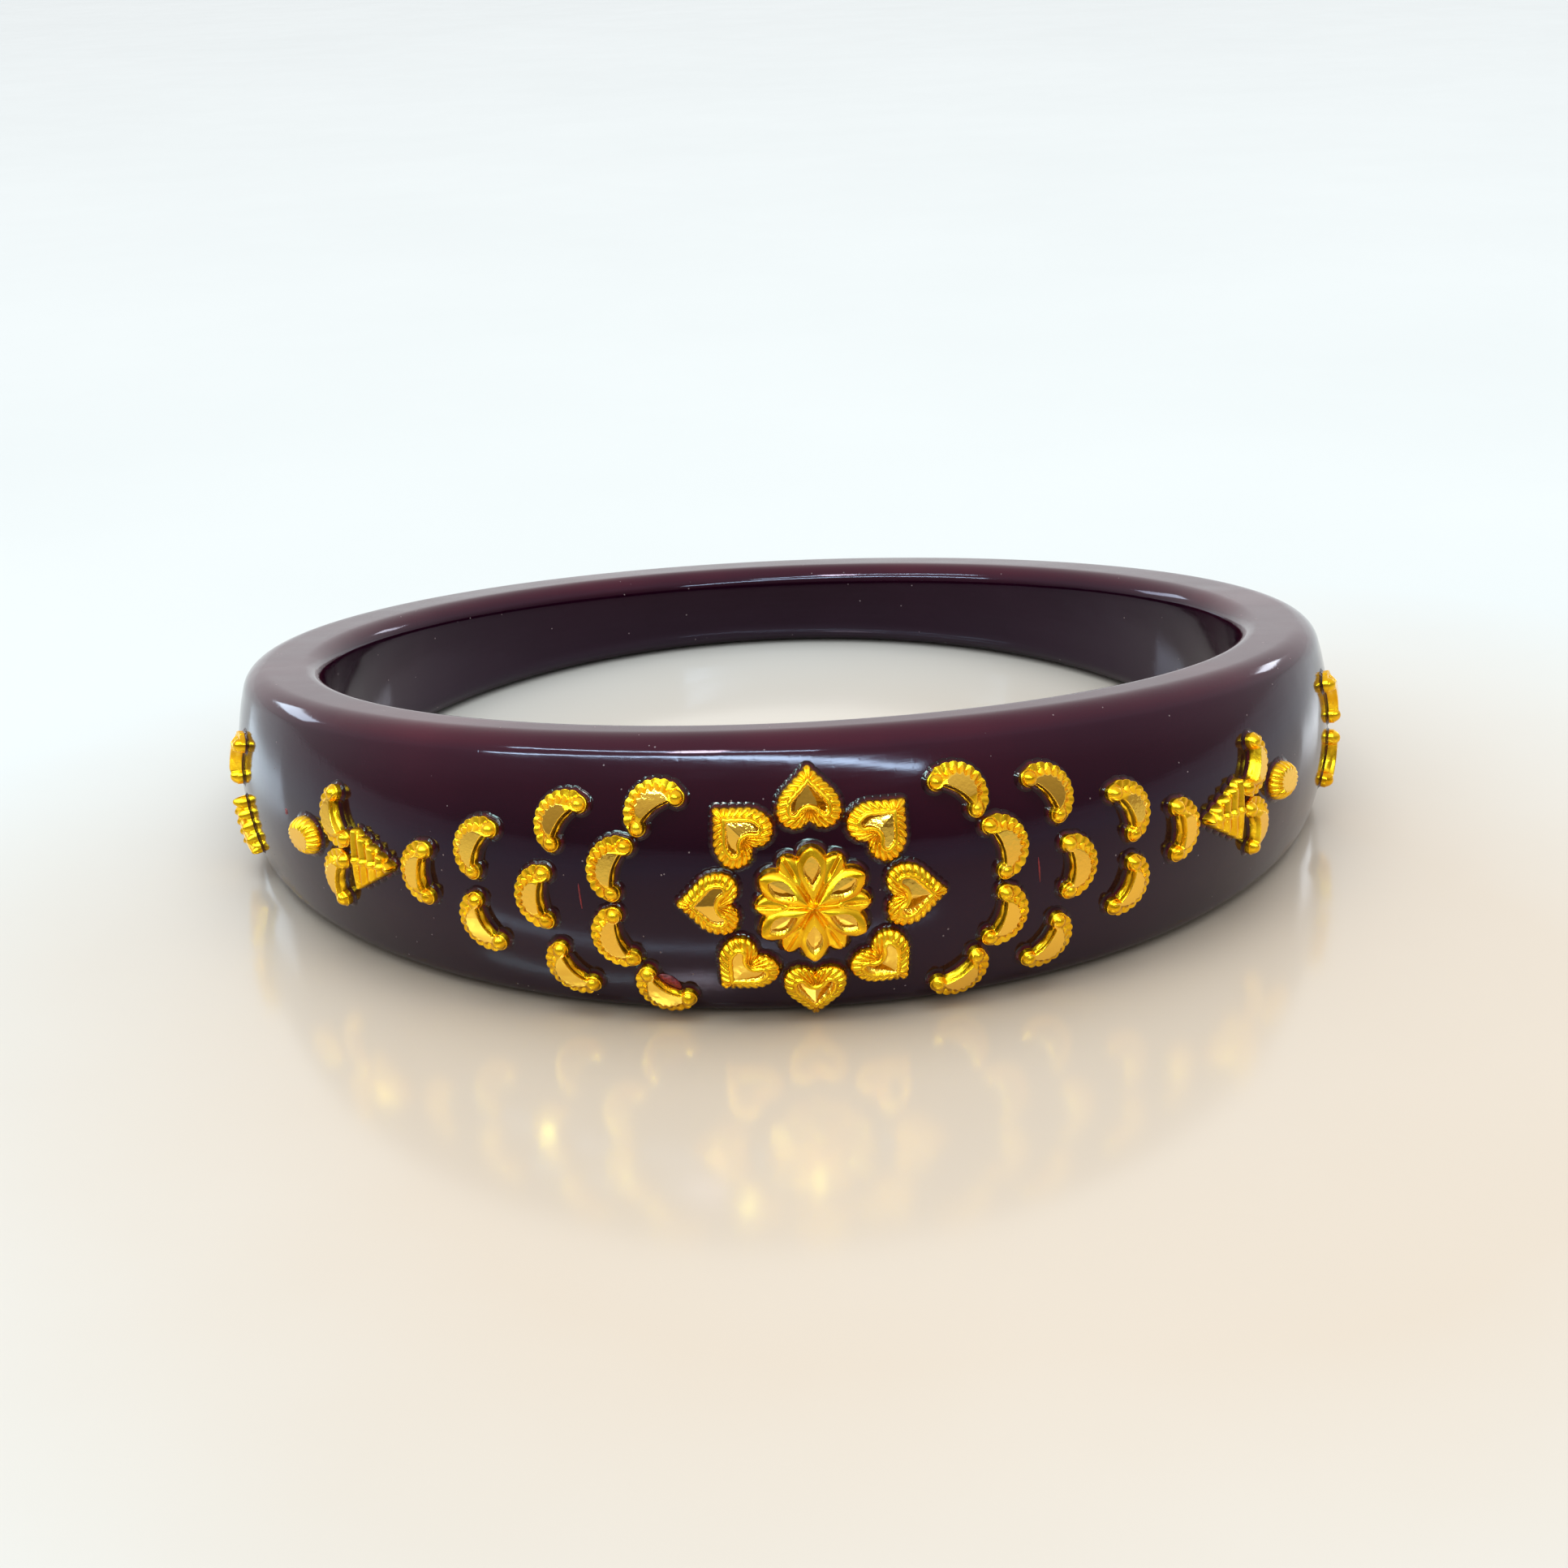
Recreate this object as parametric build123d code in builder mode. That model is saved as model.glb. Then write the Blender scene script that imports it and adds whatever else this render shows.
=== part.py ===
"""A closed, graduated resin bangle with separate gold motifs bedded in shallow seats round its front."""
import copy
import os
from math import cos, degrees, radians, sin

from build123d import *

os.makedirs("parts", exist_ok=True)

# ---------------------------------------------------------------- driving dimensions, in millimetres
# The ring: a domed band, tall at the front and low at the back
bore_radius = 30.0
wall = 5.8
dome_radius = 16.5          # radius of the outside in section
mean_height = 10.9          # height on the bore axis
wedge_angle = 9.2           # angle between the top and bottom faces
shoulder_radius = 1.7       # rounding of the outer edges
lip_radius = 1.3            # rounding of the bore's edges
blank_half_angle = 36       # of the turned blank's domed outside, before its faces are cut
dome_point_step = 12        # degrees between the points that its outline passes through
axis_offset = 0.43          # how far the ring's centre lies behind the origin

# How a motif sits: a flat-floored seat cut in the ring, a thin bed of adhesive, then the gold
bed_thickness = 0.1
bed_margin = 0.12           # width of adhesive that shows round a motif
seat_depth = 0.35
flower_seat_depth = 0.6     # the flower is wide, so its seat is deeper under the curved outside
plate_height = 0.4          # top of a motif's base plate above the ring
proud_height = 0.8          # top of a motif's relief above the ring
seat_clearance = 1.5        # how far the seat cutter stands out of the ring

# The pattern's centre line is a little below the widest line of the ring, and its right arm is set
# a little tighter than the left one and climbs by a small share of its length
pattern_drop = 0.8
right_arm_scale = 0.98
right_arm_climb = 0.012

# Flower
flower_large_reach = 2.45
flower_large_radius = 0.86
flower_small_reach = 2.55
flower_small_radius = 0.63
flower_core_radius = 2.6
petal_length = 1.9
petal_width = 0.95
flower_boss_radius = 0.5

# Hearts
heart_ring_radius = 5.7
heart_ring_rise = 0.12
heart_width = 3.5
heart_length = 3.4
heart_notch_up = -1.22      # the cleft between the lobes
heart_shoulder_up = -0.66   # the widest point
heart_flank_out = 1.22
heart_flank_up = 0.48
heart_rim = 0.45
heart_rim_width = 0.28

# Crescents: a bean-shaped plate with a round bulb at each end, origin midway between the bulbs
bulb_spacing = 2.7
bulb_radius = 0.5
bulb_height = 0.6
crescent_belly = 1.74       # how far the toothed back bows out behind the line of the bulbs
crescent_waist = 0.15       # how far the hollow side bows back behind that line
ridge_inset = 0.38

# Columns of crescents on each side: count, distance of the column's middle from the flower,
# radius of the arc that the crescents follow, angle between neighbours, and rise above the pattern line
crescent_columns = [
    (4, 10.8, 6.4, 35.0, 0.0),
    (3, 14.9, 7.1, 36.0, 0.1),
    (2, 19.2, 4.9, 50.0, 0.3),
    (1, 22.7, 5.0, 0.0, 0.5),
]

# Arrowhead leaf, the two crescents behind it, and the oval
leaf_tip_at = 25.0
leaf_length = 3.3
leaf_width = 3.6
leaf_rise = 0.4
leaf_ribs = 5
leaf_rib_width = 0.3
leaf_rib_span = 0.8         # part of the leaf's width that a rib covers
arrow_upper = (29.8, 2.6, -25.0)    # along, up, turn of the upper crescent
arrow_lower = (29.9, -1.25, 18.0)
oval_at = 33.6
oval_rise = 0.6
oval_length = 3.0
oval_height = 2.3
oval_rim = 0.35

# Groups at the ring's two sides
side_upper = (45.9, 2.15, 30.0)
side_lower = (46.2, -1.75, -20.0)
side_leaf_at = 46.3         # of the leaf's middle
side_leaf_up = -1.75
side_leaf_turn = -100.0

# ---------------------------------------------------------------- worked out from them
crown_radius = bore_radius + wall
dome_centre_radius = crown_radius - dome_radius
lean = wedge_angle / 2
centre_height = mean_height / 2 * cos(radians(lean))
crescent_reach = bulb_spacing / 2 + bulb_radius
ridge_reach = crescent_reach - ridge_inset

# The ring's own frame: its bore axis leans back by half the wedge, so the bottom face lies on z = 0
ring_frame = Plane(
    origin=(0, axis_offset, centre_height),
    x_dir=(1, 0, 0),
    z_dir=(0, sin(radians(lean)), cos(radians(lean))),
)
ring_section = Plane(origin=ring_frame.origin, x_dir=ring_frame.x_dir, z_dir=-ring_frame.y_dir)
ring_axis = Axis(ring_frame.origin, ring_frame.z_dir)
top_face = Plane(
    origin=ring_frame.origin + ring_frame.z_dir * (mean_height / 2),
    z_dir=(0, sin(radians(wedge_angle)), cos(radians(wedge_angle))),
)


def seat_plane(along, up, turn=0.0):
    """Plane on the ring's outside: along and up are measured on its surface from the flower's centre."""
    azimuth = along / crown_radius
    tip = (up - pattern_drop) / dome_radius
    radial = ring_frame.x_dir * sin(azimuth) - ring_frame.y_dir * cos(azimuth)
    tangent = ring_frame.x_dir * cos(azimuth) + ring_frame.y_dir * sin(azimuth)
    normal = radial * cos(tip) + ring_frame.z_dir * sin(tip)
    point = ring_frame.origin + radial * dome_centre_radius + normal * dome_radius
    turned = tangent * cos(radians(turn)) + normal.cross(tangent) * sin(radians(turn))
    return Plane(origin=point, x_dir=turned, z_dir=normal)


# ---------------------------------------------------------------- outlines, drawn flat round the origin
with BuildSketch() as flower_outline:
    Circle(flower_core_radius)
    with PolarLocations(flower_large_reach, 6, start_angle=90):
        Circle(flower_large_radius)
    with PolarLocations(flower_small_reach, 6, start_angle=60):
        Circle(flower_small_radius)

# A heart with its tip up
with BuildSketch() as heart_outline:
    with BuildLine():
        left_lobe = ThreePointArc(
            (0, heart_notch_up),
            (-heart_width / 4, -heart_length / 2),
            (-heart_width / 2, heart_shoulder_up),
        )
        left_flank = TangentArc(left_lobe @ 1, (-heart_flank_out, heart_flank_up), tangent=(0, 1))
        Line(left_flank @ 1, (0, heart_length / 2))
        mirror(about=Plane.YZ)
    make_face()

# A bean with a bulb at each end, its hollow side towards +x
with BuildSketch() as crescent_outline:
    with BuildLine():
        back = ThreePointArc((0, -crescent_reach), (-crescent_belly, 0), (0, crescent_reach))
        upper_bulb = ThreePointArc(
            back @ 1,
            (bulb_radius, bulb_spacing / 2),
            (0, bulb_spacing / 2 - bulb_radius),
        )
        hollow = ThreePointArc(
            upper_bulb @ 1,
            (-crescent_waist, 0),
            (0, bulb_radius - bulb_spacing / 2),
        )
        ThreePointArc(hollow @ 1, (bulb_radius, -bulb_spacing / 2), back @ 0)
    make_face()

# An arrowhead with its tip at the origin, pointing to -x
with BuildSketch() as leaf_outline:
    with BuildLine():
        Polyline(
            (0, 0),
            (leaf_length, -leaf_width / 2),
            (leaf_length, leaf_width / 2),
            close=True,
        )
    make_face()

with BuildSketch() as oval_outline:
    Ellipse(oval_length / 2, oval_height / 2)


# ---------------------------------------------------------------- motifs and seats, z = 0 on the outside
plate_bottom = bed_thickness - seat_depth
flower_plate_bottom = bed_thickness - flower_seat_depth

with BuildPart() as flower_motif:
    with BuildSketch(Plane.XY.offset(flower_plate_bottom)):
        add(flower_outline.sketch)
    extrude(amount=plate_height - flower_plate_bottom)
    with BuildSketch():
        with PolarLocations(flower_large_reach - petal_length / 4, 6, start_angle=90):
            Ellipse(petal_length / 2, petal_width / 2)
        Circle(flower_boss_radius)
    extrude(amount=proud_height)

with BuildPart() as heart_motif:
    with BuildSketch(Plane.XY.offset(plate_bottom)):
        add(heart_outline.sketch)
    extrude(amount=plate_height - plate_bottom)
    with BuildSketch():
        add(heart_outline.sketch)
        offset(amount=-heart_rim)
        with BuildSketch(mode=Mode.PRIVATE) as heart_hollow:
            add(heart_outline.sketch)
            offset(amount=-heart_rim - heart_rim_width)
        add(heart_hollow.sketch, mode=Mode.SUBTRACT)
    extrude(amount=proud_height)

with BuildPart() as crescent_motif:
    with BuildSketch(Plane.XY.offset(plate_bottom)):
        add(crescent_outline.sketch)
    extrude(amount=plate_height - plate_bottom)
    with BuildSketch():
        with BuildLine():
            ridge = ThreePointArc(
                (-ridge_inset, -ridge_reach),
                (ridge_inset - crescent_belly, 0),
                (-ridge_inset, ridge_reach),
            )
            ThreePointArc(ridge @ 1, (-ridge_inset - crescent_waist, 0), ridge @ 0)
        make_face()
    extrude(amount=proud_height)
    with BuildSketch():
        with GridLocations(0, bulb_spacing, 1, 2):
            Circle(bulb_radius * 0.8)
    extrude(amount=bulb_height)

with BuildPart() as leaf_motif:
    with BuildSketch(Plane.XY.offset(plate_bottom)):
        add(leaf_outline.sketch)
    extrude(amount=plate_height - plate_bottom)
    with BuildSketch():
        for rib in range(1, leaf_ribs + 1):
            with Locations((leaf_length * rib / leaf_ribs - leaf_rib_width, 0)):
                Rectangle(leaf_rib_width, leaf_width * rib / leaf_ribs * leaf_rib_span)
    extrude(amount=proud_height)

with BuildPart() as oval_motif:
    with BuildSketch(Plane.XY.offset(plate_bottom)):
        add(oval_outline.sketch)
    extrude(amount=plate_height - plate_bottom)
    with BuildSketch():
        Ellipse(oval_length / 2 - oval_rim, oval_height / 2 - oval_rim)
    extrude(amount=proud_height)


def seat_cutter(outline, depth):
    """The space of one seat: the motif's outline with the adhesive's margin round it."""
    with BuildPart() as cutter:
        with BuildSketch(Plane.XY.offset(-depth)):
            add(outline.sketch)
            offset(amount=bed_margin)
        extrude(amount=depth + seat_clearance)
    return cutter.part


flower_seat = seat_cutter(flower_outline, flower_seat_depth)
heart_seat = seat_cutter(heart_outline, seat_depth)
crescent_seat = seat_cutter(crescent_outline, seat_depth)
leaf_seat = seat_cutter(leaf_outline, seat_depth)

# An offset ellipse is no longer an ellipse, so the oval's wider seat is drawn as one of its own
with BuildPart() as oval_cutter:
    with BuildSketch(Plane.XY.offset(-seat_depth)):
        Ellipse(oval_length / 2 + bed_margin, oval_height / 2 + bed_margin)
    extrude(amount=seat_depth + seat_clearance)
oval_seat = oval_cutter.part


# ---------------------------------------------------------------- layout
def fresh(shape):
    """A copy that shares no geometry, so that cutting with one copy leaves the others exact."""
    return copy.deepcopy(shape)


def mirrored(along, up, turn):
    """The same place on the right (+x) and the left of the flower, hollow side towards the flower."""
    return {
        "right": seat_plane(along * right_arm_scale, up + along * right_arm_climb, 180 + turn),
        "left": seat_plane(-along, up, -turn),
    }


families = {"flower": [], "hearts": [], "crescents": [], "arrows": [], "ovals": [], "sides": []}


def place(family, name, plane, motif, seat):
    """Put one motif and its seat's cutter on the ring."""
    motif_here = fresh(motif.part).moved(plane.location)
    seat_here = fresh(seat).moved(plane.location)
    families[family].append((name, motif_here, seat_here))


place("flower", "flower", seat_plane(0, 0), flower_motif, flower_seat)

for number in range(8):
    bearing = radians(45 * number)
    heart_plane = seat_plane(
        heart_ring_radius * sin(bearing),
        heart_ring_rise + heart_ring_radius * cos(bearing),
        -degrees(bearing),
    )
    place("hearts", f"heart_{number + 1}", heart_plane, heart_motif, heart_seat)

for column, (count, middle, arc_radius, pitch, rise) in enumerate(crescent_columns, start=1):
    for row in range(count):
        bearing = pitch * ((count - 1) / 2 - row)
        along = middle - arc_radius + arc_radius * cos(radians(bearing))
        up = rise + arc_radius * sin(radians(bearing))
        for side, plane in mirrored(along, up, bearing).items():
            place("crescents", f"crescent_{side}_{column}_{row + 1}", plane, crescent_motif, crescent_seat)

for level, spot in {"upper": arrow_upper, "lower": arrow_lower}.items():
    for side, plane in mirrored(*spot).items():
        place("arrows", f"arrow_crescent_{side}_{level}", plane, crescent_motif, crescent_seat)

for side, plane in mirrored(leaf_tip_at, leaf_rise, 180).items():
    place("arrows", f"leaf_{side}", plane, leaf_motif, leaf_seat)

for side, plane in mirrored(oval_at, oval_rise, 0).items():
    place("ovals", f"oval_{side}", plane, oval_motif, oval_seat)

for side, plane in mirrored(*side_upper).items():
    place("sides", f"side_crescent_{side}_upper", plane, crescent_motif, crescent_seat)
side_lower_right = mirrored(*side_lower)["right"]
place("sides", "side_crescent_right_lower", side_lower_right, crescent_motif, crescent_seat)
side_leaf_middle = seat_plane(-side_leaf_at, side_leaf_up, side_leaf_turn)
side_leaf_plane = Plane(
    origin=side_leaf_middle.origin - side_leaf_middle.x_dir * (leaf_length / 2),
    x_dir=side_leaf_middle.x_dir,
    z_dir=side_leaf_middle.z_dir,
)
place("sides", "side_leaf_left", side_leaf_plane, leaf_motif, leaf_seat)

# ---------------------------------------------------------------- ring
blank_half_height = dome_radius * sin(radians(blank_half_angle))
dome_points = [
    (
        dome_centre_radius + dome_radius * cos(radians(angle)),
        dome_radius * sin(radians(angle)),
    )
    for angle in range(-blank_half_angle, blank_half_angle + 1, dome_point_step)
]

with BuildPart() as blank:
    with BuildSketch(ring_section):
        with BuildLine():
            outside = Spline(dome_points)
            Polyline(
                outside @ 1,
                (bore_radius, blank_half_height),
                (bore_radius, -blank_half_height),
                outside @ 0,
            )
        make_face()
    revolve(axis=ring_axis)
    split(bisect_by=Plane.XY, keep=Keep.TOP)
    split(bisect_by=top_face, keep=Keep.BOTTOM)
    flat_faces = blank.faces().filter_by(GeomType.PLANE)
    shoulders = [face.outer_wire().edges() for face in flat_faces]
    lips = [wire.edges() for face in flat_faces for wire in face.inner_wires()]
    fillet(shoulders, shoulder_radius)
    fillet(lips, lip_radius)

with BuildPart() as ring:
    add(fresh(blank.part))
    for members in families.values():
        for _, _, cutter in members:
            add(fresh(cutter), clean=False, mode=Mode.SUBTRACT)
ring.part.label = "ring"
export_step(ring.part, "parts/ring.step")


# ---------------------------------------------------------------- beds and motifs
def seat_filling(motif, cutter):
    """The adhesive of one seat: the cut-out part of the ring, less the gold that sits in it."""
    with BuildPart() as filling:
        add(fresh(cutter))
        add(fresh(blank.part), clean=False, mode=Mode.INTERSECT)
        add(fresh(motif), clean=False, mode=Mode.SUBTRACT)
    return filling.part


for family, members in families.items():
    with BuildPart() as bed:
        for _, motif, cutter in members:
            add(seat_filling(motif, cutter), clean=False)
    bed.part.label = f"bed_{family}"
    export_step(bed.part, f"parts/bed_{family}.step")
    for name, motif, _ in members:
        motif.label = name
        export_step(motif, f"parts/{name}.step")
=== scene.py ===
"""Visual model of the bangle: a polished resin ring with stamped gold motifs bedded in adhesive."""
import math

import bmesh
import bpy
import numpy as np
from mathutils import Matrix, Vector


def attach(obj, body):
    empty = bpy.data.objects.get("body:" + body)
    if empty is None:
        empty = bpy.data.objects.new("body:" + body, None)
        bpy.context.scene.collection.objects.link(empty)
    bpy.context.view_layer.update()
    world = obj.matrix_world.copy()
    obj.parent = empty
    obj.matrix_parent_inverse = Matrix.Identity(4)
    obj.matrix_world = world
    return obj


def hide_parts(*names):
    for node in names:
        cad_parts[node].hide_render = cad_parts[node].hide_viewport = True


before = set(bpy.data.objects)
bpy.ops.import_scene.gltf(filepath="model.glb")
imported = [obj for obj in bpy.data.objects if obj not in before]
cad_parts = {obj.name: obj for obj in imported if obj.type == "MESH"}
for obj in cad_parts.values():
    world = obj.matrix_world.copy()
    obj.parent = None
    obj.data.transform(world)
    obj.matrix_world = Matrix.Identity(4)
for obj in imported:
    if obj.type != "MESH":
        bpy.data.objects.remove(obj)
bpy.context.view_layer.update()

MM = 0.001

# ---------------------------------------------------------------- the ring, in millimetres, as in the part
BORE_RADIUS = 30.0
CROWN_RADIUS = 35.8
DOME_RADIUS = 16.5
DOME_CENTRE = CROWN_RADIUS - DOME_RADIUS
MEAN_HEIGHT = 10.9
LEAN = math.radians(4.6)
SHOULDER_RADIUS = 1.7
LIP_RADIUS = 1.3
AXIS_OFFSET = 0.43
PATTERN_DROP = 0.8
RIGHT_ARM_SCALE = 0.98
RIGHT_ARM_CLIMB = 0.012

X_DIR = np.array([1.0, 0.0, 0.0])
Y_DIR = np.array([0.0, math.cos(LEAN), -math.sin(LEAN)])
Z_DIR = np.array([0.0, math.sin(LEAN), math.cos(LEAN)])
ORIGIN = np.array([0.0, AXIS_OFFSET, MEAN_HEIGHT / 2 * math.cos(LEAN)])


def on_ring(along, up, height):
    """Points over the ring's outside: along and up on its surface from the flower, height above it."""
    azimuth = np.asarray(along)[..., None] / CROWN_RADIUS
    tip = (np.asarray(up)[..., None] - PATTERN_DROP) / DOME_RADIUS
    radial = X_DIR * np.sin(azimuth) - Y_DIR * np.cos(azimuth)
    normal = radial * np.cos(tip) + Z_DIR * np.sin(tip)
    reach = DOME_RADIUS + np.asarray(height)[..., None]
    return ORIGIN + radial * DOME_CENTRE + normal * reach


def stamp(points, spot):
    """Local (x, y, height) points laid on the ring at a spot (along, up, turn in degrees)."""
    along, up, turn = spot
    cosine = math.cos(math.radians(turn))
    sine = math.sin(math.radians(turn))
    x = points[..., 0] * cosine - points[..., 1] * sine
    y = points[..., 0] * sine + points[..., 1] * cosine
    return on_ring(along + x, up + y, points[..., 2])


# ---------------------------------------------------------------- meshes
def grid_faces(rows, columns):
    """Quads of a grid of points whose rows are closed loops."""
    quads = []
    for i in range(rows - 1):
        for j in range(columns):
            k = (j + 1) % columns
            quads.append((i * columns + j, i * columns + k, (i + 1) * columns + k, (i + 1) * columns + j))
    return quads


def new_object(name, points, faces, material, cut=None):
    """A mesh object from points in millimetres, welded, with outward normals, riding on the root."""
    mesh = bpy.data.meshes.new(name)
    mesh.from_pydata((np.asarray(points) * MM).tolist(), [], faces)
    if cut is not None:
        mark = mesh.attributes.new("cut", "FLOAT", "POINT")
        mark.data.foreach_set("value", np.asarray(cut, np.float32))
    bm = bmesh.new()
    bm.from_mesh(mesh)
    bmesh.ops.remove_doubles(bm, verts=bm.verts, dist=2e-6)
    bmesh.ops.dissolve_degenerate(bm, edges=bm.edges, dist=1e-7)
    bmesh.ops.recalc_face_normals(bm, faces=bm.faces)
    bm.to_mesh(mesh)
    bm.free()
    mesh.polygons.foreach_set("use_smooth", [True] * len(mesh.polygons))
    mesh.materials.append(material)
    obj = bpy.data.objects.new(name, mesh)
    bpy.context.scene.collection.objects.link(obj)
    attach(obj, "root")
    return obj


# ---------------------------------------------------------------- outlines
def arc(centre, radius, start, end, count):
    angles = np.radians(np.linspace(start, end, count))
    return np.stack([centre[0] + radius * np.cos(angles), centre[1] + radius * np.sin(angles)], 1)


def arc_through(first, middle, last, count):
    """Points on the circle through three points."""
    a, b, c = (np.array(p, float) for p in (first, middle, last))
    matrix = 2 * np.array([b - a, c - a])
    right = np.array([b @ b - a @ a, c @ c - a @ a])
    centre = np.linalg.solve(matrix, right)
    angles = [math.atan2(*(p - centre)[::-1]) for p in (a, b, c)]
    turn = (angles[2] - angles[0]) % (2 * math.pi)
    if (angles[1] - angles[0]) % (2 * math.pi) > turn:
        turn -= 2 * math.pi
    t = angles[0] + np.linspace(0, turn, count)
    return centre + np.linalg.norm(a - centre) * np.stack([np.cos(t), np.sin(t)], 1)


def evenly(points, count):
    """A closed outline cut into equal steps, from its first point."""
    closed = np.vstack([points, points[:1]])
    steps = np.linalg.norm(np.diff(closed, axis=0), axis=1)
    length = np.concatenate([[0], np.cumsum(steps)])
    at = np.linspace(0, length[-1], count, endpoint=False)
    return np.stack([np.interp(at, length, closed[:, k]) for k in range(2)], 1)


def outward_normals(outline):
    """Unit normals of a closed outline, pointing out."""
    tangent = np.roll(outline, -1, 0) - np.roll(outline, 1, 0)
    normal = np.stack([tangent[:, 1], -tangent[:, 0]], 1)
    normal /= np.maximum(np.linalg.norm(normal, axis=1), 1e-9)[:, None]
    x, y = outline.T
    area = np.sum(x * np.roll(y, -1) - np.roll(x, -1) * y)
    return normal if area > 0 else -normal


def distance_to(points, line):
    """Distance of each point to the nearest sample of a line."""
    flat = points.reshape(-1, 1, 2)
    out = np.empty(len(flat))
    for i in range(0, len(flat), 2000):
        gap = flat[i:i + 2000] - line[None]
        out[i:i + 2000] = np.sqrt((gap ** 2).sum(-1).min(1))
    return out.reshape(points.shape[:-1])


def rounded(x):
    """Quarter-circle rise from 0 to 1."""
    return np.sqrt(1 - (1 - np.clip(x, 0, 1)) ** 2)


def step(x, low, high):
    t = np.clip((x - low) / (high - low), 0, 1)
    return t * t * (3 - 2 * t)


def relief(name, outline, skeleton, height, spot, material, node=None, rings=34, shift=(0, 0)):
    """A raised motif: loops that run from its outline in to its skeleton, with a height at each point."""
    share = np.linspace(0, 1, rings) ** 1.15
    flat = outline[None] * (1 - share[:, None, None]) + skeleton[None] * share[:, None, None]
    heights, cut = height(flat, share)
    top = np.concatenate([flat, heights[..., None]], 2)
    foot = np.concatenate([outline, np.full((len(outline), 1), -0.18)], 1)[None]
    loops = np.concatenate([foot, top], 0)
    marks = np.concatenate([np.zeros((1, len(outline))), cut], 0)
    count = len(outline)
    faces = grid_faces(rings + 1, count)
    faces.append(tuple(range(count)))
    world = stamp(loops.reshape(-1, 3) + np.array([*shift, 0]), spot)
    obj = new_object(name, world, faces, material, marks.ravel())
    if node:
        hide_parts(node)
    return obj


# ---------------------------------------------------------------- materials
def nodes_of(name):
    material = bpy.data.materials.new(name)
    material.use_nodes = True
    tree = material.node_tree
    return material, tree, tree.nodes["Principled BSDF"]


def node(tree, kind, **values):
    made = tree.nodes.new(kind)
    for key, value in values.items():
        if key in made.inputs:
            made.inputs[key].default_value = value
        else:
            setattr(made, key, value)
    return made


def ramp(tree, source, stops):
    made = tree.nodes.new("ShaderNodeValToRGB")
    elements = made.color_ramp.elements
    while len(elements) < len(stops):
        elements.new(0.5)
    for element, (position, colour) in zip(elements, stops):
        element.position = position
        element.color = (*colour, 1) if len(colour) == 3 else colour
    tree.links.new(source, made.inputs[0])
    return made.outputs[0]


def scaled(tree, coordinates, scale):
    mapping = tree.nodes.new("ShaderNodeMapping")
    mapping.inputs["Scale"].default_value = scale
    tree.links.new(coordinates, mapping.inputs["Vector"])
    return mapping.outputs[0]


def noise(tree, vector, scale, detail=3.0, roughness=0.5):
    made = node(tree, "ShaderNodeTexNoise", Scale=scale, Detail=detail, Roughness=roughness)
    tree.links.new(vector, made.inputs["Vector"])
    return made.outputs["Fac"]


def maths(tree, operation, first, second=None, clamp=False):
    made = tree.nodes.new("ShaderNodeMath")
    made.operation = operation
    made.use_clamp = clamp
    for index, value in enumerate((first, second)):
        if value is None:
            continue
        if isinstance(value, (int, float)):
            made.inputs[index].default_value = value
        else:
            tree.links.new(value, made.inputs[index])
    return made.outputs[0]


def mixed(tree, factor, first, second):
    made = tree.nodes.new("ShaderNodeMix")
    made.data_type = "RGBA"
    for index, value in ((0, factor), (6, first), (7, second)):
        if isinstance(value, (int, float)):
            made.inputs[index].default_value = value
        elif isinstance(value, tuple):
            made.inputs[index].default_value = (*value, 1)
        else:
            tree.links.new(value, made.inputs[index])
    return made.outputs[2]


def bumped(tree, height, strength, distance, under=None):
    made = node(tree, "ShaderNodeBump", Strength=strength, Distance=distance)
    tree.links.new(height, made.inputs["Height"])
    if under is not None:
        tree.links.new(under, made.inputs["Normal"])
    return made.outputs[0]


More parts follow.
